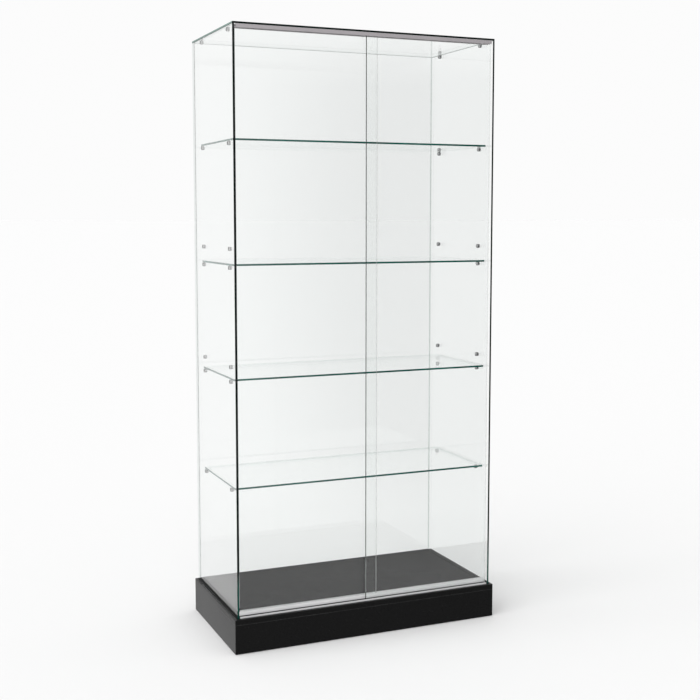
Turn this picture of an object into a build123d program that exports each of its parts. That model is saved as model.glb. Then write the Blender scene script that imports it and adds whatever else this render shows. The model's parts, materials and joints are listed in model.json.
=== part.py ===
from build123d import *
import os

# Free-standing glass display case: a clear glass box with four loose glass shelves and two
# bypass sliding glass doors, on a black plinth with levelling feet.
#
# Millimetres, +Z up. The front of the case faces -Y and +X is the right-hand side seen from the
# front. The origin is on the floor, under the middle of the plinth.

# ---------------------------------------------------------------- driving dimensions
overall_height = 1980.0
plinth_width = 936.0
plinth_depth = 470.0
plinth_height = 114.0        # floor to the upper face of the deck
floor_gap = 2.0              # the feet hold the plinth this far off the floor
board = 18.0                 # laminated board
corner_ease = 0.8            # small flat on the plinth's corners and upper edges

glass_width = 914.0          # over both side panes
glass_depth = 455.0          # front edge of the side panes to the back of the back pane
glass = 6.0                  # every pane, door and shelf
arris = 0.6                  # ground flat on every glass edge
bond = 0.1                   # adhesive line between bonded panes
front_margin = 10.0          # plinth standing out in front of the glass

seat_depth = 8.0             # groove in the deck that holds a pane
lip = 3.0                    # wall of the rubber channel in that groove
lip_height = 2.0             # the channel stands this far above the deck

groove = 10.0                # door grooves of both tracks
wall = 2.0                   # walls of both tracks
lower_rebate = 3.0           # the lower track is let into the deck
lower_lip = 5.0              # front wall of the lower track, above the deck
lower_rib = 18.0             # its middle and rear walls, above the deck
upper_track_height = 11.0
tape = 0.5                   # bonding tape over the upper track
upper_track_end_gap = 5.0

door_end_gap = 6.0           # closed door to the side pane
left_door_width = 480.0
right_door_width = 454.0
door_engagement = 3.0        # door inside the upper track
glide_floor = 2.8            # nylon under the door's lower edge

shelf_width = 897.0
shelf_depth = 350.0
shelf_front_setback = 38.0   # from the front edge of the side panes
shelf_mid_heights = {"shelf_1": 1514.0, "shelf_2": 1124.0, "shelf_3": 761.0, "shelf_4": 411.0}

stud_length = 10.0
stud_radius = 6.5
ring_radius = 7.0            # outer radius of the soft ring round each stud
ring_section = 1.2           # radius of the ring's section
stud_inset = 80.0            # stud axis from the front and back of the glass box
spare_above_shelf_2 = 50.0
spare_above_shelf_3 = 37.0

# ---------------------------------------------------------------- derived places
half_plinth_x = plinth_width / 2
half_plinth_y = plinth_depth / 2
deck_top = plinth_height
deck_bottom = deck_top - board
outer_x = glass_width / 2
inner_x = outer_x - glass
front_y = -half_plinth_y + front_margin
back_y = front_y + glass_depth
top_under = overall_height - glass
seat_floor = deck_top - seat_depth
pane_foot = seat_floor + 1.5                      # on the floor of the rubber channel
seat_width = glass + 2 * lip + 0.2
track_depth = 3 * wall + 2 * groove
track_back_y = front_y + track_depth
outer_door_y = front_y + wall + groove / 2        # right-hand door, in the front groove
inner_door_y = outer_door_y + groove + wall       # left-hand door, in the rear groove
groove_floor = deck_top - lower_rebate + wall
lower_track_half = inner_x - lip - bond
upper_track_half = inner_x - upper_track_end_gap
upper_track_top = top_under - tape
upper_track_mouth = upper_track_top - upper_track_height
door_foot = groove_floor + 0.2 + glide_floor
door_top = upper_track_mouth + door_engagement
stop_x = inner_x - door_end_gap                   # closed end of each door
stud_drop = ring_radius + 0.05                    # stud axis below the shelf that it carries

block = 45.0
block_foot = 14.0
batten = 20.0
inside_x = half_plinth_x - board
inside_y = half_plinth_y - board
leveller_x = inside_x - block / 2
leveller_y = inside_y - block / 2
quarters = [(sx, sy) for sx in (-1, 1) for sy in (-1, 1)]

track_screw_xs = [-400.0, -200.0, 0.0, 200.0, 400.0]
deck_screw_xs = [70.0, 235.0, 350.0]
track_screw = {"shank": 3.4, "head": 6.8, "length": 15.0}
deck_screw = {"shank": 4.0, "head": 8.0, "length": 28.0}
block_screw = {"shank": 4.0, "head": 8.0, "length": 55.0}
block_screw_heights = (64.0, 80.0)


# ---------------------------------------------------------------- helpers
def box_between(low, high):
    """Box from its lowest to its highest corner."""
    size = [b - a for a, b in zip(low, high)]
    return Pos(*low) * Box(*size, align=(Align.MIN, Align.MIN, Align.MIN))


def pane(low, high):
    """Sheet of glass with a ground flat on every edge."""
    sheet = box_between(low, high)
    return chamfer(sheet.edges(), arris)


def upright_rod(x, y, low, high, radius):
    """Vertical cylinder between two heights."""
    return Pos(x, y, low) * Cylinder(radius, high - low, align=(Align.CENTER, Align.CENTER, Align.MIN))


def screw(size):
    """Countersunk wood screw, head up at z = 0, with a cross recess."""
    head = size["head"] / 2
    shank = size["shank"] / 2
    length = size["length"]
    tip = 2 * shank
    profile = Polyline(
        (0, 0), (head, 0), (head, -0.3), (shank, -0.3 - (head - shank)),
        (shank, -length + tip), (0, -length), close=True,
    )
    body = revolve(Plane.XZ * make_face(profile), Axis.Z)
    slot = Box(head * 1.2, 0.7, 1.4) + Box(0.7, head * 1.2, 1.4)
    return body - slot


def screw_hole(size, clearance=0.06):
    """Countersunk hole that clears screw(size) all over."""
    head = size["head"] / 2 + clearance
    shank = size["shank"] / 2 + clearance
    length = size["length"] + clearance
    profile = Polyline(
        (0, 0.5), (head, 0.5), (head, -0.3 - clearance), (shank, -0.3 - clearance - (head - shank)),
        (shank, -length), (0, -length), close=True,
    )
    return revolve(Plane.XZ * make_face(profile), Axis.Z)


def save(name, shape):
    """Write one sub-part."""
    shape.label = name
    export_step(shape, os.path.join("parts", name + ".step"))


def group(solids):
    """Several separate solids that share one node."""
    return Compound(children=list(solids))


# ---------------------------------------------------------------- places of the screws
def track_screw_places():
    return [Pos(x, inner_door_y, groove_floor) for x in track_screw_xs]


def deck_screw_places():
    places = []
    for sx, sy in quarters:
        for x in deck_screw_xs:
            places.append(Pos(sx * x, sy * (inside_y - batten / 2), deck_bottom - batten) * Rot(180, 0, 0))
    return places


def block_screw_places():
    """One screw through each corner block into the long panel and one into the short panel."""
    low, high = block_screw_heights
    places = []
    for sx, sy in quarters:
        places.append(Pos(sx * leveller_x, sy * (inside_y - block), low) * Rot(90 * sy, 0, 0))
        places.append(Pos(sx * (inside_x - block), sy * leveller_y, high) * Rot(0, -90 * sx, 0))
    return places


def drilled(shape, places, size):
    """Shape with a countersunk hole at each place."""
    for place in places:
        shape = shape - place * screw_hole(size)
    return shape


# ---------------------------------------------------------------- plinth
def long_panel(side):
    """Front (side -1) or back (side 1) panel, mitred at both ends."""
    x, y, t, c = half_plinth_x, half_plinth_y, board, corner_ease
    outline = [
        (-x + c, y), (x - c, y), (x - c / 2, y - c / 2), (x - t, y - t),
        (-x + t, y - t), (-x + c / 2, y - c / 2),
    ]
    face = make_face(Polyline(*[(px, side * py) for px, py in outline], close=True))
    panel = Pos(0, 0, floor_gap) * extrude(face, deck_bottom - floor_gap, dir=(0, 0, 1))
    return drilled(panel, block_screw_places(), block_screw)


def short_panel(side):
    """Left (side -1) or right (side 1) panel, mitred at both ends."""
    x, y, t, c = half_plinth_x, half_plinth_y, board, corner_ease
    outline = [
        (x, -y + c), (x, y - c), (x - c / 2, y - c / 2), (x - t, y - t),
        (x - t, -y + t), (x - c / 2, -y + c / 2),
    ]
    face = make_face(Polyline(*[(side * px, py) for px, py in outline], close=True))
    panel = Pos(0, 0, floor_gap) * extrude(face, deck_bottom - floor_gap, dir=(0, 0, 1))
    return drilled(panel, block_screw_places(), block_screw)


def deck_panel():
    """Top board of the plinth: grooves for three panes and a rebate for the lower track."""
    deck = box_between((-half_plinth_x, -half_plinth_y, deck_bottom), (half_plinth_x, half_plinth_y, deck_top))
    deck = chamfer(deck.edges().filter_by(Axis.Z), corner_ease)
    deck = chamfer(deck.faces().sort_by(Axis.Z)[-1].edges(), corner_ease)
    side_centre = outer_x - glass / 2
    back_centre = back_y - glass / 2
    above = deck_top + 1
    for sx in (-1, 1):
        deck = deck - box_between(
            (sx * side_centre - seat_width / 2, front_y - 0.2, seat_floor),
            (sx * side_centre + seat_width / 2, back_y + 0.2, above),
        )
    deck = deck - box_between(
        (-side_centre, back_centre - seat_width / 2, seat_floor),
        (side_centre, back_centre + seat_width / 2, above),
    )
    deck = deck - box_between(
        (-lower_track_half - bond, front_y - bond, deck_top - lower_rebate),
        (lower_track_half + bond, track_back_y + bond, above),
    )
    deck = drilled(deck, track_screw_places(), track_screw)
    return drilled(deck, deck_screw_places(), deck_screw)


def corner_block(sx, sy):
    """Glue block in one inner corner, bored for its levelling foot."""
    low_x, high_x = sorted((sx * (inside_x - block), sx * inside_x))
    low_y, high_y = sorted((sy * (inside_y - block), sy * inside_y))
    body = box_between((low_x, low_y, block_foot), (high_x, high_y, deck_bottom))
    centre = (sx * leveller_x, sy * leveller_y)
    body = body - upright_rod(*centre, block_foot - 1, block_foot + 21, 8.05)
    body = body - upright_rod(*centre, block_foot, 54, 5.5)
    return drilled(body, block_screw_places(), block_screw)


def cross_brace():
    """Board across the middle of the plinth, under the deck."""
    return box_between((-board / 2, -inside_y, block_foot), (board / 2, inside_y, deck_bottom))


def deck_batten(sx, sy):
    """Batten that carries the deck, along one half of a long panel."""
    low_x, high_x = sorted((sx * board / 2, sx * (inside_x - block)))
    low_y, high_y = sorted((sy * (inside_y - batten), sy * inside_y))
    body = box_between((low_x, low_y, deck_bottom - batten), (high_x, high_y, deck_bottom))
    return drilled(body, deck_screw_places(), deck_screw)


# ---------------------------------------------------------------- levelling feet
def leveller_pad(sx, sy):
    """Nylon foot with a socket for the stem."""
    x, y = sx * leveller_x, sy * leveller_y
    pad = upright_rod(x, y, 0, 6, 19)
    pad = chamfer(pad.faces().sort_by(Axis.Z)[-1].edges(), 1.5)
    return pad - upright_rod(x, y, 3, 7, 5.1)


def leveller_stem(sx, sy):
    """Steel stem with a hexagon to turn it and a screwdriver slot in its end."""
    x, y = sx * leveller_x, sy * leveller_y
    hexagon = Pos(x, y, 6.1) * extrude(RegularPolygon(9.8, 6), 4.5)
    stem = upright_rod(x, y, 3.1, 50, 5.0) + hexagon
    return stem - Pos(x, y, 50) * Box(12, 1.4, 4)


def leveller_insert(sx, sy):
    """Flanged sleeve in the corner block that the stem turns in."""
    x, y = sx * leveller_x, sy * leveller_y
    sleeve = upright_rod(x, y, block_foot, block_foot + 20, 8.0)
    sleeve = sleeve + upright_rod(x, y, block_foot - 1.6, block_foot, 12.0)
    return sleeve - upright_rod(x, y, block_foot - 3, block_foot + 22, 5.06)


# ---------------------------------------------------------------- glass box
def side_glass(side):
    low_x, high_x = sorted((side * inner_x, side * outer_x))
    return pane((low_x, front_y, pane_foot), (high_x, back_y, top_under - bond))


def back_glass():
    return pane((-inner_x + bond, back_y - glass, pane_foot), (inner_x - bond, back_y, top_under - bond))


def top_glass():
    return pane((-outer_x, front_y, top_under), (outer_x, back_y, overall_height))


def rubber_channel(length):
    """U channel along +Y from the origin, seated at z = 0, open upwards."""
    half = glass / 2
    rise = seat_depth + lip_height
    profile = Polyline(
        (-half - lip, 0), (half + lip, 0), (half + lip, rise - 0.8), (half + lip - 0.8, rise),
        (half + 0.04, rise), (half + 0.04, 1.46), (-half - 0.04, 1.46), (-half - 0.04, rise),
        (-half - lip + 0.8, rise), (-half - lip, rise - 0.8), close=True,
    )
    return extrude(Plane.XZ * make_face(profile), length, dir=(0, 1, 0))


def side_gasket(side):
    length = back_y - glass - lip - 2 * bond - front_y
    return Pos(side * (outer_x - glass / 2), front_y, seat_floor) * rubber_channel(length)


def back_gasket():
    half = inner_x - bond
    return Pos(half, back_y - glass / 2, seat_floor) * Rot(0, 0, 90) * rubber_channel(2 * half)


# ---------------------------------------------------------------- tracks
def lower_track():
    """Double door track with a low front lip and two taller ribs behind it."""
    floor = wall
    low_top = lower_rebate + lower_lip
    rib_top = lower_rebate + lower_rib
    first = wall + groove
    second = first + wall
    third = second + groove
    section = Polyline(
        (0, 0), (track_depth, 0), (track_depth, rib_top), (third, rib_top), (third, floor),
        (second, floor), (second, rib_top), (first, rib_top), (first, floor), (wall, floor),
        (wall, low_top), (0, low_top), close=True,
    )
    profile = Plane.YZ * make_face(section)
    track = extrude(profile, 2 * lower_track_half, dir=(1, 0, 0))
    track = chamfer(track.edges().filter_by(Axis.X).group_by(Axis.Z)[-1], 0.4)
    track = Pos(-lower_track_half, front_y, deck_top - lower_rebate) * track
    return drilled(track, track_screw_places(), track_screw)


def upper_track():
    """Double door track with three equal walls, open downwards."""
    top = upper_track_height
    first = wall + groove
    second = first + wall
    third = second + groove
    section = Polyline(
        (0, 0), (wall, 0), (wall, top - wall), (first, top - wall), (first, 0), (second, 0),
        (second, top - wall), (third, top - wall), (third, 0), (track_depth, 0),
        (track_depth, top), (0, top), close=True,
    )
    profile = Plane.YZ * make_face(section)
    track = extrude(profile, 2 * upper_track_half, dir=(1, 0, 0))
    return Pos(-upper_track_half, front_y, upper_track_mouth) * track


def upper_track_tape():
    return box_between(
        (-upper_track_half, front_y + 1, upper_track_top),
        (upper_track_half, track_back_y - 1, top_under),
    )


def door_stop(side, door_y):
    """Rubber buffer in the end of one groove of the lower track."""
    low_x, high_x = sorted((side * (stop_x + 0.3), side * (lower_track_half - bond)))
    half = groove / 2 - 0.1
    body = box_between((low_x, door_y - half, groove_floor), (high_x, door_y + half, deck_top + lower_lip - 0.5))
    return chamfer(body.faces().sort_by(Axis.Z)[-1].edges(), 0.6)


# ---------------------------------------------------------------- sliding doors
def door_glass(low_x, width, door_y):
    return pane((low_x, door_y - glass / 2, door_foot), (low_x + width, door_y + glass / 2, door_top))


def door_glides(low_x, width, door_y):
    """Two nylon shoes on the lower edge of a door."""
    length = 60.0
    shoes = []
    for start in (low_x + 20, low_x + width - 20 - length):
        low = groove_floor + 0.2
        shoe = box_between(
            (start, door_y - groove / 2 + 0.3, low), (start + length, door_y + groove / 2 - 0.3, low + 4.8),
        )
        shoe = chamfer(shoe.edges().filter_by(Axis.Y).group_by(Axis.Z)[0], 1.0)
        slot = box_between(
            (start - 1, door_y - glass / 2, door_foot), (start + length + 1, door_y + glass / 2, low + 10),
        )
        shoes.append(shoe - slot)
    return group(shoes)


# ---------------------------------------------------------------- shelves and studs
def shelf(mid_height):
    low_y = front_y + shelf_front_setback
    low_z = deck_top + mid_height - glass / 2
    return pane((-shelf_width / 2, low_y, low_z), (shelf_width / 2, low_y + shelf_depth, low_z + glass))


def stud():
    """Turned stud along +X from its bonded face at x = 0, with a groove for its ring."""
    body = Cylinder(stud_radius, stud_length, align=(Align.CENTER, Align.CENTER, Align.MIN))
    body = fillet(body.faces().sort_by(Axis.Z)[-1].edges(), 1.2)
    body = chamfer(body.faces().sort_by(Axis.Z)[0].edges(), 0.3)
    ring_room = Pos(0, 0, stud_length / 2) * Torus(ring_radius - ring_section, ring_section + 0.05)
    return Rot(0, 90, 0) * (body - ring_room)


def stud_ring():
    return Rot(0, 90, 0) * Pos(0, 0, stud_length / 2) * Torus(ring_radius - ring_section, ring_section)


def row_of_four(piece, height):
    """A piece on each side pane, near the front and near the back, pointing inwards."""
    row = []
    for y in (front_y + stud_inset, back_y - stud_inset):
        row.append(Pos(-inner_x, y, height) * piece)
        row.append(Pos(inner_x, y, height) * Rot(0, 0, 180) * piece)
    return group(row)


def stud_rows():
    """Name of each row of four studs, with the height of its axis."""
    rows = {"top": top_under - stud_drop}
    for name, mid_height in shelf_mid_heights.items():
        rows[name] = deck_top + mid_height - glass / 2 - stud_drop
    rows["spare_high"] = deck_top + shelf_mid_heights["shelf_2"] + spare_above_shelf_2
    rows["spare_low"] = deck_top + shelf_mid_heights["shelf_3"] + spare_above_shelf_3
    return rows


# ---------------------------------------------------------------- assembly
def build():
    os.makedirs("parts", exist_ok=True)
    save("plinth_front_panel", long_panel(-1))
    save("plinth_back_panel", long_panel(1))
    save("plinth_left_panel", short_panel(-1))
    save("plinth_right_panel", short_panel(1))
    save("deck_panel", deck_panel())
    save("cross_brace", cross_brace())
    save("corner_blocks", group(corner_block(*q) for q in quarters))
    save("deck_battens", group(deck_batten(*q) for q in quarters))
    save("block_screws", group(place * screw(block_screw) for place in block_screw_places()))
    save("deck_screws", group(place * screw(deck_screw) for place in deck_screw_places()))
    save("leveller_pads", group(leveller_pad(*q) for q in quarters))
    save("leveller_stems", group(leveller_stem(*q) for q in quarters))
    save("leveller_inserts", group(leveller_insert(*q) for q in quarters))

    save("left_side_glass", side_glass(-1))
    save("right_side_glass", side_glass(1))
    save("back_glass", back_glass())
    save("top_glass", top_glass())
    save("left_gasket", side_gasket(-1))
    save("right_gasket", side_gasket(1))
    save("back_gasket", back_gasket())

    save("bottom_track", lower_track())
    save("track_screws", group(place * screw(track_screw) for place in track_screw_places()))
    save("top_track", upper_track())
    save("top_track_tape", upper_track_tape())
    save("door_stops", group(door_stop(s, y) for s in (-1, 1) for y in (outer_door_y, inner_door_y)))

    left_low = -stop_x
    right_low = stop_x - right_door_width
    save("left_door_glass", door_glass(left_low, left_door_width, inner_door_y))
    save("left_door_glides", door_glides(left_low, left_door_width, inner_door_y))
    save("right_door_glass", door_glass(right_low, right_door_width, outer_door_y))
    save("right_door_glides", door_glides(right_low, right_door_width, outer_door_y))

    for name, mid_height in shelf_mid_heights.items():
        save(name, shelf(mid_height))
    for name, height in stud_rows().items():
        save(name + "_studs", row_of_four(stud(), height))
        save(name + "_stud_rings", row_of_four(stud_ring(), height))


build()
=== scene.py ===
"""Glass display case in a plain white studio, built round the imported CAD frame.

Metres, +Z up, front towards -Y."""
import json
import math

import bmesh
import bpy
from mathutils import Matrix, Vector


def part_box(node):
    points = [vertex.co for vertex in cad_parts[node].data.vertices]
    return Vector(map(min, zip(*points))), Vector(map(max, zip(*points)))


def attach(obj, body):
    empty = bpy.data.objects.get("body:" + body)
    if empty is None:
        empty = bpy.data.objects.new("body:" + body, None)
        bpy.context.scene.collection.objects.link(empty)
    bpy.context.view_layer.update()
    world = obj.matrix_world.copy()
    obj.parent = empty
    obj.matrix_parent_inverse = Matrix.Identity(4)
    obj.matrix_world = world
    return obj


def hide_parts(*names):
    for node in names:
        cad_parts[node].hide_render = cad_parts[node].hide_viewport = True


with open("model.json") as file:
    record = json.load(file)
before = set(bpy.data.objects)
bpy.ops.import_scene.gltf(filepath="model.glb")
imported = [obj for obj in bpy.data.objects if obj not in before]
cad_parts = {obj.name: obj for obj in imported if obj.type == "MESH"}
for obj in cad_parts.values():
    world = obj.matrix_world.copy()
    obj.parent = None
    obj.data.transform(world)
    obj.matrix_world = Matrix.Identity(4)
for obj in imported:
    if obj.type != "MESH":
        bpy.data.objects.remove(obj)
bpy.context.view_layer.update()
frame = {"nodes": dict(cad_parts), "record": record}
nodes = frame["nodes"]

# ---------------------------------------------------------------- studio, colours in linear light
BACKDROP = 0.972              # what the camera sees behind the case
FLOOR_WHITE = 0.811           # lit, it comes out like the backdrop, so that no horizon shows
FLOOR_HALF = 400.0
FLOOR_DROP = 0.0002
ROOM_WHITE = 0.97             # what the case mirrors
ROOM_DIM = (0.12, 0.12, 0.122)
DARK_AZIMUTH = math.radians(60)
DARK_WAY = Vector((math.sin(DARK_AZIMUTH), -math.cos(DARK_AZIMUTH), 0.0))   # the dim side of the room
DIM_START, DIM_FULL = 0.715, 0.82       # cosines of the angle to DARK_WAY as the room grows dim
DIM_BELOW = (-0.20, -0.30)    # heights of a direction as the dim side turns white again, downwards
DIM_ABOVE = (0.11, 0.16)      # and upwards
SKY_FILL = 0.80               # share of the room's light that falls on matt surfaces
KEY_STRENGTH = 1.9
KEY_WAY = (0.9, 0.45, -1.0)
KEY_ANGLE = 75.0              # degrees across, for soft shadows

CAMERA_PLACE = (-1.5273, -3.6477, 1.3893)
CAMERA_YAW = 23.086           # degrees, to the right of straight ahead
CAMERA_PITCH = -5.359
CAMERA_LENS = 59.36
CAMERA_SHIFT = -0.036

# ---------------------------------------------------------------- glass
ARRIS = 0.0006                # flat on every corner of a pane
GLASS_IOR = 1.52
GLASS_TINT = (0.985, 0.990, 0.988)
OVERLAP_MIRROR = 0.12         # share of its mirror that the rear door keeps behind the front door
OVERLAP_FADE = (0.003, 0.006)
TRACK_PAINTED_LIGHT = (0.24, 0.255, 0.25)       # painted light: the paler colour that the lower track lends the doors' ground edges
DECK_PAINTED_LIGHT = (0.003, 0.045, 0.034)      # painted light, the same for the side panes, beside the dark deck
FOOT_FADE = 0.04


# ---------------------------------------------------------------- node helpers
class Tree:
    """A material's node tree, with short ways to add nodes to it."""

    def __init__(self, name):
        self.material = bpy.data.materials.new(name)
        self.material.use_nodes = True
        self.nodes = self.material.node_tree.nodes
        self.links = self.material.node_tree.links
        self.nodes.clear()
        self.output = self.nodes.new("ShaderNodeOutputMaterial")

    def add(self, kind, **values):
        """A node. values are its properties, and `inputs` gives its sockets a value or a link each."""
        node = self.nodes.new("ShaderNode" + kind)
        sockets = values.pop("inputs", {})
        for key, value in values.items():
            setattr(node, key, value)
        for key, value in sockets.items():
            socket = node.inputs[key]
            if isinstance(value, bpy.types.NodeSocket):
                self.links.new(value, socket)
            else:
                socket.default_value = value
        return node

    def math(self, operation, a, b=0.0, c=0.0):
        return self.add("Math", operation=operation, inputs={0: a, 1: b, 2: c}).outputs[0]

    def place(self, stretch=(1, 1, 1)):
        """The piece's own coordinates in metres, stretched."""
        where = self.add("TexCoord").outputs["Object"]
        return self.add("Mapping", inputs={"Vector": where, "Scale": stretch}).outputs["Vector"]

    def noise(self, scale, detail=3.0, rough=0.55, stretch=(1, 1, 1)):
        node = self.add(
            "TexNoise",
            inputs={"Vector": self.place(stretch), "Scale": scale, "Detail": detail, "Roughness": rough},
        )
        return node.outputs["Fac"]

    def spread(self, value, low, high, start=0.3, end=0.7):
        """value from start..end to low..high."""
        node = self.add(
            "MapRange",
            inputs={"Value": value, "From Min": start, "From Max": end, "To Min": low, "To Max": high},
        )
        return node.outputs["Result"]

    def blend(self, amount, a, b):
        node = self.add("Mix", data_type="RGBA")
        for socket, value in ((0, amount), (6, a), (7, b)):
            if isinstance(value, bpy.types.NodeSocket):
                self.links.new(value, node.inputs[socket])
            else:
                node.inputs[socket].default_value = (*value, 1) if isinstance(value, tuple) else value
        return node.outputs[2]

    def bump(self, height, strength, distance):
        node = self.add("Bump", inputs={"Height": height, "Strength": strength, "Distance": distance})
        return node.outputs["Normal"]

    def edge_mask(self, radius, full=0.80, none=0.99):
        """1 at sharp edges and 0 on flats."""
        soft = self.add("Bevel", samples=4, inputs={"Radius": radius}).outputs["Normal"]
        flat = self.add("NewGeometry").outputs["Normal"]
        dot = self.add("VectorMath", operation="DOT_PRODUCT", inputs={0: soft, 1: flat}).outputs["Value"]
        return self.spread(dot, 1.0, 0.0, full, none)

    def close(self, shader):
        self.links.new(shader, self.output.inputs["Surface"])
        return self.material


# ---------------------------------------------------------------- materials
def glass_face(name, clear_from=None):
    """The faces of a clear pane: what lies behind, dimmed, and a mirror that grows towards grazing.

    clear_from: to the right of this X the pane hardly mirrors."""
    t = Tree(name)
    facing = t.add("LayerWeight", inputs={"Blend": 0.5}).outputs["Facing"]
    base = ((GLASS_IOR - 1) / (GLASS_IOR + 1)) ** 2
    mirror = t.math("MULTIPLY_ADD", t.math("POWER", facing, 5.0), 1 - base, base)
    if clear_from is not None:
        across = t.add("SeparateXYZ", inputs={0: t.place()}).outputs["X"]
        start, end = (clear_from + step for step in OVERLAP_FADE)
        mirror = t.math("MULTIPLY", mirror, t.spread(across, 1.0, OVERLAP_MIRROR, start, end))
    smudge = t.spread(t.noise(2.3, 4.0), 0.0, 0.02)
    clear = t.add("BsdfTransparent", inputs={"Color": (*GLASS_TINT, 1)})
    shine = t.add("BsdfGlossy", inputs={"Color": (1, 1, 1, 1), "Roughness": smudge})
    mix = t.add("MixShader", inputs={0: mirror, 1: clear.outputs[0], 2: shine.outputs[0]})
    return t.close(mix.outputs[0])


def glass_edge(
    name, deep, pale, shine, outside, inside, tint=(0.92, 0.95, 0.94), within=None, foot=None
):
    """The narrow edge of a pane: solid from outside, a faint line from within the glass.

    deep, pale: the colours it streaks between; shine: its specular level.
    outside, inside: how solid it is from outside and from within the glass.
    tint: the tint of what shows through it.
    within: the light ground colour that shows from within the glass.
    foot: (low, high, colour), the heights between which it takes that colour as painted light from the
    track or the deck."""
    t = Tree(name)
    streak = t.noise(7.0, 3.0)
    colour = t.blend(t.spread(streak, 0, 1), deep, pale)
    behind = t.add("NewGeometry").outputs["Backfacing"]
    # painted light: between the foot's heights the edge takes the foot colour
    if foot is not None:
        height = t.add("SeparateXYZ", inputs={0: t.place()}).outputs["Z"]
        low, high, foot_colour = foot
        above = t.spread(height, 0, 1, low - 0.002, low)
        lit_part = t.math("MULTIPLY", above, t.spread(height, 1, 0, high - FOOT_FADE, high))
        colour = t.blend(lit_part, colour, foot_colour)
    grain = t.noise(900.0, 2.0)
    body = t.add(
        "BsdfPrincipled",
        inputs={"Base Color": colour, "Roughness": t.spread(grain, 0.12, 0.22), "Specular IOR Level": shine,
                "Normal": t.bump(grain, 0.15, 0.0002)},
    )
    if within is not None:
        lit = t.add("BsdfTranslucent", inputs={"Color": (*within, 1)})
        body = t.add("MixShader", inputs={0: behind, 1: body.outputs[0], 2: lit.outputs[0]})
    clear = t.add("BsdfTransparent", inputs={"Color": (*tint, 1)})
    amount = t.spread(behind, outside, inside, 0.0, 1.0)
    mix = t.add("MixShader", inputs={0: amount, 1: clear.outputs[0], 2: body.outputs[0]})
    return t.close(mix.outputs[0])


CORNER_WEAR_AND_HIGHLIGHT = 7                    # how much paler than its worn grain a corner is: partly rubbed wear, partly a painted highlight along the corner
DULL_LEVEL = 0.004
# painted shade: the dark colour put inside the lower track's groove, where shade falls
GROOVE_PAINTED_SHADE = (0.02, 0.02, 0.021)


def laminate(name, colour, worn, rough, level, dull=None):
    """Board laminate: fine pearl grain, faint smears, and corners painted paler, partly as rubbed wear and
    partly as a painted highlight.

    dull: (low, high), corners of the area whose upward face is matt."""
    t = Tree(name)
    smear = t.noise(3.2, 4.0, stretch=(1, 1, 2.5))
    speck = t.noise(420.0, 2.0)
    tone = t.blend(t.spread(speck, 0, 0.35), colour, worn)
    # the corners are painted paler: partly rubbed wear, partly a painted highlight where light would catch
    # them
    worn_and_highlit_corner = t.math("MULTIPLY", t.edge_mask(0.0014), t.spread(t.noise(14.0, 3.0), 0.55, 1.0))
    tone = t.blend(worn_and_highlit_corner, tone, tuple(c * CORNER_WEAR_AND_HIGHLIGHT for c in worn))
    roughness = t.math("ADD", t.spread(smear, rough - 0.04, rough + 0.05), t.spread(speck, -0.01, 0.02))
    if dull:
        where = t.add("SeparateXYZ", inputs={0: t.place()})
        up = t.add("SeparateXYZ", inputs={0: t.add("NewGeometry").outputs["Normal"]}).outputs["Z"]
        inside = t.math("GREATER_THAN", up, 0.5)
        for axis, low, high in (("X", dull[0].x, dull[1].x), ("Y", dull[0].y, dull[1].y)):
            inside = t.math("MULTIPLY", inside, t.math("GREATER_THAN", where.outputs[axis], low))
            inside = t.math("MULTIPLY", inside, t.math("LESS_THAN", where.outputs[axis], high))
        level = t.spread(inside, level, DULL_LEVEL, 0.0, 1.0)
    body = t.add(
        "BsdfPrincipled",
        inputs={"Base Color": tone, "Roughness": roughness, "Specular IOR Level": level,
                "Normal": t.bump(t.noise(650.0, 2.0), 0.12, 0.0003)},
    )
    return t.close(body.outputs[0])


def brushed_aluminium(name, colour, metallic, rough, groove=None):
    """Satin anodised section, drawn along X.

    groove: (front, height), behind and below which its colour is darkened as painted shade inside the
    groove."""
    t = Tree(name)
    line = t.noise(60.0, 4.0, stretch=(0.4, 60, 60))
    cloud = t.noise(9.0, 2.0)
    tone = t.blend(t.spread(cloud, 0, 1), tuple(c * 0.93 for c in colour), colour)
    if groove:
        where = t.add("SeparateXYZ", inputs={0: t.place()})
        behind = t.spread(where.outputs["Y"], 0, 1, groove[0], groove[0] + 0.0002)
        below = t.spread(where.outputs["Z"], 1, 0, groove[1], groove[1] + 0.001)
        # painted shade: behind the front lip and low in the groove the colour turns dark
        tone = t.blend(t.math("MULTIPLY", behind, below), tone, GROOVE_PAINTED_SHADE)
    body = t.add(
        "BsdfPrincipled",
        inputs={"Base Color": tone, "Metallic": metallic,
                "Roughness": t.spread(line, rough - 0.07, rough + 0.07),
                "Normal": t.bump(line, 0.2, 0.0002)},
    )
    return t.close(body.outputs[0])


def chrome():
    """Polished plate, with its rims and grazing faces painted dark: a painted reflection of its dark
    neighbours.
    """
    t = Tree("chrome")
    turned = t.noise(700.0, 2.0, stretch=(1, 0.1, 0.1))
    grazing = t.spread(t.add("LayerWeight", inputs={"Blend": 0.5}).outputs["Facing"], 0, 1, 0.35, 0.7)
    # painted reflection: the base colour turns near black at the rims and at grazing angles
    painted_dark_rim = t.math("MAXIMUM", grazing, t.edge_mask(0.0038, 0.972, 0.9995))
    body = t.add(
        "BsdfPrincipled",
        inputs={"Base Color": t.blend(painted_dark_rim, (0.86, 0.86, 0.87), (0.004, 0.004, 0.004)), "Metallic": 1.0,
                "Roughness": t.spread(turned, 0.05, 0.11), "Normal": t.bump(turned, 0.05, 0.0001)},
    )
    return t.close(body.outputs[0])


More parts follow.
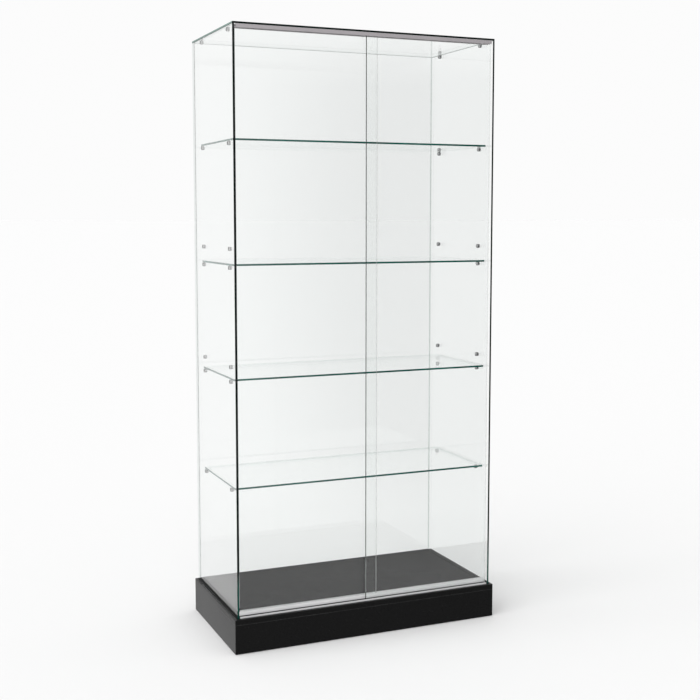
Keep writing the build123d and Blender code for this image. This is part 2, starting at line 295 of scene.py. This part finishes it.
def rubber():
    """Black rubber with a dusty bloom."""
    t = Tree("rubber")
    grain = t.noise(1400.0, 2.0)
    tone = t.blend(t.spread(grain, 0, 1), (0.003, 0.003, 0.0032), (0.008, 0.008, 0.0085))
    body = t.add(
        "BsdfPrincipled",
        inputs={"Base Color": tone, "Roughness": t.spread(grain, 0.5, 0.65), "Specular IOR Level": 0.15,
                "Normal": t.bump(grain, 0.2, 0.0002)},
    )
    return t.close(body.outputs[0])


def moulded(name, colour, rough):
    """Plain moulded or plated small part."""
    t = Tree(name)
    grain = t.noise(600.0, 3.0)
    cloud = t.noise(40.0, 2.0)
    body = t.add(
        "BsdfPrincipled",
        inputs={"Base Color": t.blend(t.spread(cloud, 0, 1), tuple(c * 0.82 for c in colour), colour),
                "Roughness": t.spread(grain, rough - 0.06, rough + 0.06),
                "Normal": t.bump(grain, 0.15, 0.0002)},
    )
    return t.close(body.outputs[0])


def zinc():
    """Zinc plate with a fine spangle."""
    t = Tree("zinc")
    spangle = t.add("TexVoronoi", inputs={"Vector": t.place(), "Scale": 900.0}).outputs["Distance"]
    body = t.add(
        "BsdfPrincipled",
        inputs={"Base Color": t.blend(spangle, (0.5, 0.51, 0.53), (0.66, 0.67, 0.68)), "Metallic": 1.0,
                "Roughness": t.spread(spangle, 0.28, 0.42, 0.0, 0.8)},
    )
    return t.close(body.outputs[0])


def raw_board():
    """Unfaced particle board."""
    t = Tree("raw_board")
    chip = t.add("TexVoronoi", inputs={"Vector": t.place((1, 1, 2.5)), "Scale": 260.0}).outputs["Color"]
    level = t.add("RGBToBW", inputs={0: chip}).outputs[0]
    tone = t.blend(level, (0.30, 0.20, 0.115), (0.52, 0.38, 0.235))
    body = t.add(
        "BsdfPrincipled",
        inputs={"Base Color": tone, "Roughness": 0.85, "Normal": t.bump(level, 0.3, 0.0004)},
    )
    return t.close(body.outputs[0])


# ---------------------------------------------------------------- glass panes
def sheet(node, body, edge_material, end_material, face_material=None):
    """Pane in place of a CAD node: polished faces, ground edges, and a flat on every corner.

    end_material goes on the edges that face left and right, and edge_material on the others."""
    low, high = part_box(node)
    size = high - low
    thin = min(range(3), key=lambda axis: size[axis])
    mesh = bpy.data.meshes.new(node + "_pane")
    bm = bmesh.new()
    bmesh.ops.create_cube(bm, size=1.0)
    for vertex in bm.verts:
        vertex.co = [low[a] + (vertex.co[a] + 0.5) * size[a] for a in range(3)]
    bmesh.ops.bevel(bm, geom=bm.edges[:], offset=ARRIS, segments=1, affect="EDGES", clamp_overlap=False)
    for face in bm.faces:
        if abs(face.normal[thin]) > 0.9:
            face.material_index = 0
        else:
            face.material_index = 2 if abs(face.normal.x) > 0.9 else 1
    bm.to_mesh(mesh)
    bm.free()
    for material in (face_material or PANE_FACE, edge_material, end_material):
        mesh.materials.append(material)
    piece = bpy.data.objects.new(node + "_pane", mesh)
    bpy.context.scene.collection.objects.link(piece)
    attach(piece, body)
    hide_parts(node)


PANE_FACE = glass_face("pane_face")
BEHIND_FACE = glass_face("pane_face_overlapped", clear_from=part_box("right_door_glass")[0].x)
side_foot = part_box("left_side_glass")[0].z
EDGE_BLACK = glass_edge(
    "edge_black", (0.0, 0.002, 0.0016), (0.0004, 0.005, 0.004), 0.08, 1.0, 0.12,
    foot=(side_foot, side_foot + 0.15, DECK_PAINTED_LIGHT),
)
EDGE_TEAL = glass_edge("edge_teal", (0.0, 0.050, 0.038), (0.002, 0.10, 0.078), 0.04, 1.0, 0.16)
EDGE_BACK = glass_edge("edge_back", (0.02, 0.026, 0.026), (0.03, 0.04, 0.038), 0.1, 1.0, 0.10)
END_TEAL = glass_edge("end_teal", (0.07, 0.14, 0.12), (0.12, 0.22, 0.19), 0.2, 0.98, 0.16)
door_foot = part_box("right_door_glass")[0].z
EDGE_DOOR = glass_edge(
    "edge_door", (0.005, 0.008, 0.008), (0.01, 0.016, 0.015), 0.1, 1.0, 0.38, (0.985, 0.99, 0.99),
    within=(0.90, 0.92, 0.91), foot=(door_foot + 0.027, door_foot + 0.16, TRACK_PAINTED_LIGHT),
)

for node, edge, end in (
    ("left_side_glass", EDGE_BLACK, EDGE_BLACK),
    ("right_side_glass", EDGE_BLACK, EDGE_BLACK),
    ("back_glass", EDGE_BACK, EDGE_BACK),
    ("top_glass", EDGE_BLACK, END_TEAL),
    ("shelf_1", EDGE_TEAL, EDGE_TEAL),
    ("shelf_2", EDGE_TEAL, EDGE_TEAL),
    ("shelf_3", EDGE_TEAL, EDGE_TEAL),
    ("shelf_4", EDGE_TEAL, EDGE_TEAL),
):
    sheet(node, "case", edge, end)
sheet("left_door_glass", "left_door", EDGE_DOOR, EDGE_DOOR, BEHIND_FACE)
sheet("right_door_glass", "right_door", EDGE_DOOR, EDGE_DOOR)


# ---------------------------------------------------------------- CAD nodes that stay, with their finish
PLINTH = laminate("plinth_laminate", (0.0018, 0.0018, 0.0019), (0.012, 0.012, 0.012), 0.22, 0.09)
deck_low, deck_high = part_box("left_gasket")[0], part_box("right_gasket")[1]
DECK = laminate(
    "deck_laminate", (0.002, 0.0021, 0.0021), (0.010, 0.010, 0.010), 0.26, 0.09,
    dull=(deck_low + Vector((0.006, 0.01, 0)), deck_high - Vector((0.006, 0, 0))),
)
track_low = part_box("bottom_track")[0]
# the lower track's groove gets painted shade
ALUMINIUM = brushed_aluminium(
    "track_aluminium", (0.74, 0.74, 0.745), 0.12, 0.4,
    groove=(track_low.y + 0.0019, track_low.z + 0.0075),
)
UPPER_TRACK = brushed_aluminium("upper_track_aluminium", (0.42, 0.395, 0.41), 0.5, 0.34)
CHROME = chrome()
RUBBER = rubber()
NYLON = moulded("black_nylon", (0.02, 0.02, 0.021), 0.45)
TAPE = moulded("foam_tape", (0.62, 0.62, 0.62), 0.8)
RING = moulded("soft_ring", (0.015, 0.015, 0.016), 0.5)
ZINC = zinc()
BOARD = raw_board()

finishes = {
    "laminate": PLINTH, "bare_board": BOARD, "zinc_steel": ZINC, "nylon": NYLON, "black_rubber": RUBBER,
    "clear_ring": RING, "anodised": ALUMINIUM, "tape": TAPE, "chrome": CHROME,
}
for part in frame["record"]["subparts"]:
    finish = finishes.get(part["material_slot"])
    if finish is None:
        continue
    node = nodes[part["node"]]
    for material_slot in node.material_slots:
        material_slot.material = finish
for name, finish in (("deck_panel", DECK), ("top_track", UPPER_TRACK)):
    for material_slot in nodes[name].material_slots:
        material_slot.material = finish


# ---------------------------------------------------------------- studio
def studio_world():
    """White backdrop for the camera. The case mirrors a white room with one dim side."""
    world = bpy.data.worlds.new("studio")
    bpy.context.scene.world = world
    world.use_nodes = True
    tree = world.node_tree
    tree.nodes.clear()
    add = tree.nodes.new
    coords = add("ShaderNodeTexCoord")
    dot = add("ShaderNodeVectorMath")
    dot.operation = "DOT_PRODUCT"
    dot.inputs[1].default_value = DARK_WAY
    tree.links.new(coords.outputs["Generated"], dot.inputs[0])
    ramp = add("ShaderNodeValToRGB")
    ramp.color_ramp.interpolation = "EASE"
    first, last = ramp.color_ramp.elements
    first.position, first.color = DIM_START, (ROOM_WHITE, ROOM_WHITE, ROOM_WHITE, 1)
    last.position, last.color = DIM_FULL, (*ROOM_DIM, 1)
    tree.links.new(dot.outputs["Value"], ramp.inputs["Fac"])
    seen = add("ShaderNodeBackground")
    seen.inputs["Color"].default_value = (BACKDROP, BACKDROP, BACKDROP, 1)
    apart = add("ShaderNodeSeparateXYZ")
    tree.links.new(coords.outputs["Generated"], apart.inputs[0])
    white_part = add("ShaderNodeMath")
    white_part.operation = "MAXIMUM"
    for socket, (start, end) in enumerate((DIM_BELOW, DIM_ABOVE)):
        part = add("ShaderNodeMapRange")
        part.inputs["From Min"].default_value = start
        part.inputs["From Max"].default_value = end
        tree.links.new(apart.outputs["Z"], part.inputs["Value"])
        tree.links.new(part.outputs["Result"], white_part.inputs[socket])
    room = add("ShaderNodeMix")
    room.data_type = "RGBA"
    tree.links.new(white_part.outputs[0], room.inputs[0])
    tree.links.new(ramp.outputs["Color"], room.inputs[6])
    room.inputs[7].default_value = (ROOM_WHITE, ROOM_WHITE, ROOM_WHITE, 1)
    mirrored = add("ShaderNodeBackground")
    tree.links.new(room.outputs[2], mirrored.inputs["Color"])
    path = add("ShaderNodeLightPath")
    dim = add("ShaderNodeMapRange")
    dim.inputs["To Min"].default_value = 1.0
    dim.inputs["To Max"].default_value = SKY_FILL
    tree.links.new(path.outputs["Is Diffuse Ray"], dim.inputs["Value"])
    tree.links.new(dim.outputs["Result"], mirrored.inputs["Strength"])
    mix = add("ShaderNodeMixShader")
    tree.links.new(path.outputs["Is Camera Ray"], mix.inputs[0])
    tree.links.new(mirrored.outputs[0], mix.inputs[1])
    tree.links.new(seen.outputs[0], mix.inputs[2])
    out = add("ShaderNodeOutputWorld")
    tree.links.new(mix.outputs[0], out.inputs["Surface"])


def studio_floor():
    mesh = bpy.data.meshes.new("floor")
    half = FLOOR_HALF
    corners = [(-half, -half, 0), (half, -half, 0), (half, half, 0), (-half, half, 0)]
    mesh.from_pydata(corners, [], [(0, 1, 2, 3)])
    floor = bpy.data.objects.new("floor", mesh)
    floor.location.z = -FLOOR_DROP
    bpy.context.scene.collection.objects.link(floor)
    tree = Tree("floor_paper")
    body = tree.add("BsdfDiffuse", inputs={"Color": (FLOOR_WHITE, FLOOR_WHITE, FLOOR_WHITE, 1)})
    mesh.materials.append(tree.close(body.outputs[0]))
    floor.visible_glossy = False        # glass and laminate mirror the room all the way down


def soft_sun(strength, way, angle):
    data = bpy.data.lights.new("key", "SUN")
    data.energy = strength
    data.angle = math.radians(angle)
    lamp = bpy.data.objects.new("key", data)
    lamp.rotation_mode = "QUATERNION"
    lamp.rotation_quaternion = Vector(way).to_track_quat("-Z", "Y")
    lamp.visible_glossy = False         # the shelves mirror the white room, and not the key light
    bpy.context.scene.collection.objects.link(lamp)


def photo_camera():
    data = bpy.data.cameras.new("camera")
    data.lens = CAMERA_LENS
    data.sensor_width = 36.0
    data.shift_y = CAMERA_SHIFT
    data.clip_start = 0.05
    data.clip_end = 2000.0
    camera = bpy.data.objects.new("camera", data)
    yaw, pitch = math.radians(CAMERA_YAW), math.radians(CAMERA_PITCH)
    way = Vector((math.sin(yaw) * math.cos(pitch), math.cos(yaw) * math.cos(pitch), math.sin(pitch)))
    camera.location = CAMERA_PLACE
    camera.rotation_mode = "QUATERNION"
    camera.rotation_quaternion = way.to_track_quat("-Z", "Y")
    bpy.context.scene.collection.objects.link(camera)
    bpy.context.scene.camera = camera


studio_world()
studio_floor()
soft_sun(KEY_STRENGTH, KEY_WAY, KEY_ANGLE)
photo_camera()

scene = bpy.context.scene
scene.view_settings.view_transform = "Standard"
scene.view_settings.look = "None"
scene.cycles.transparent_max_bounces = 64
scene.cycles.max_bounces = 16
scene.cycles.glossy_bounces = 10
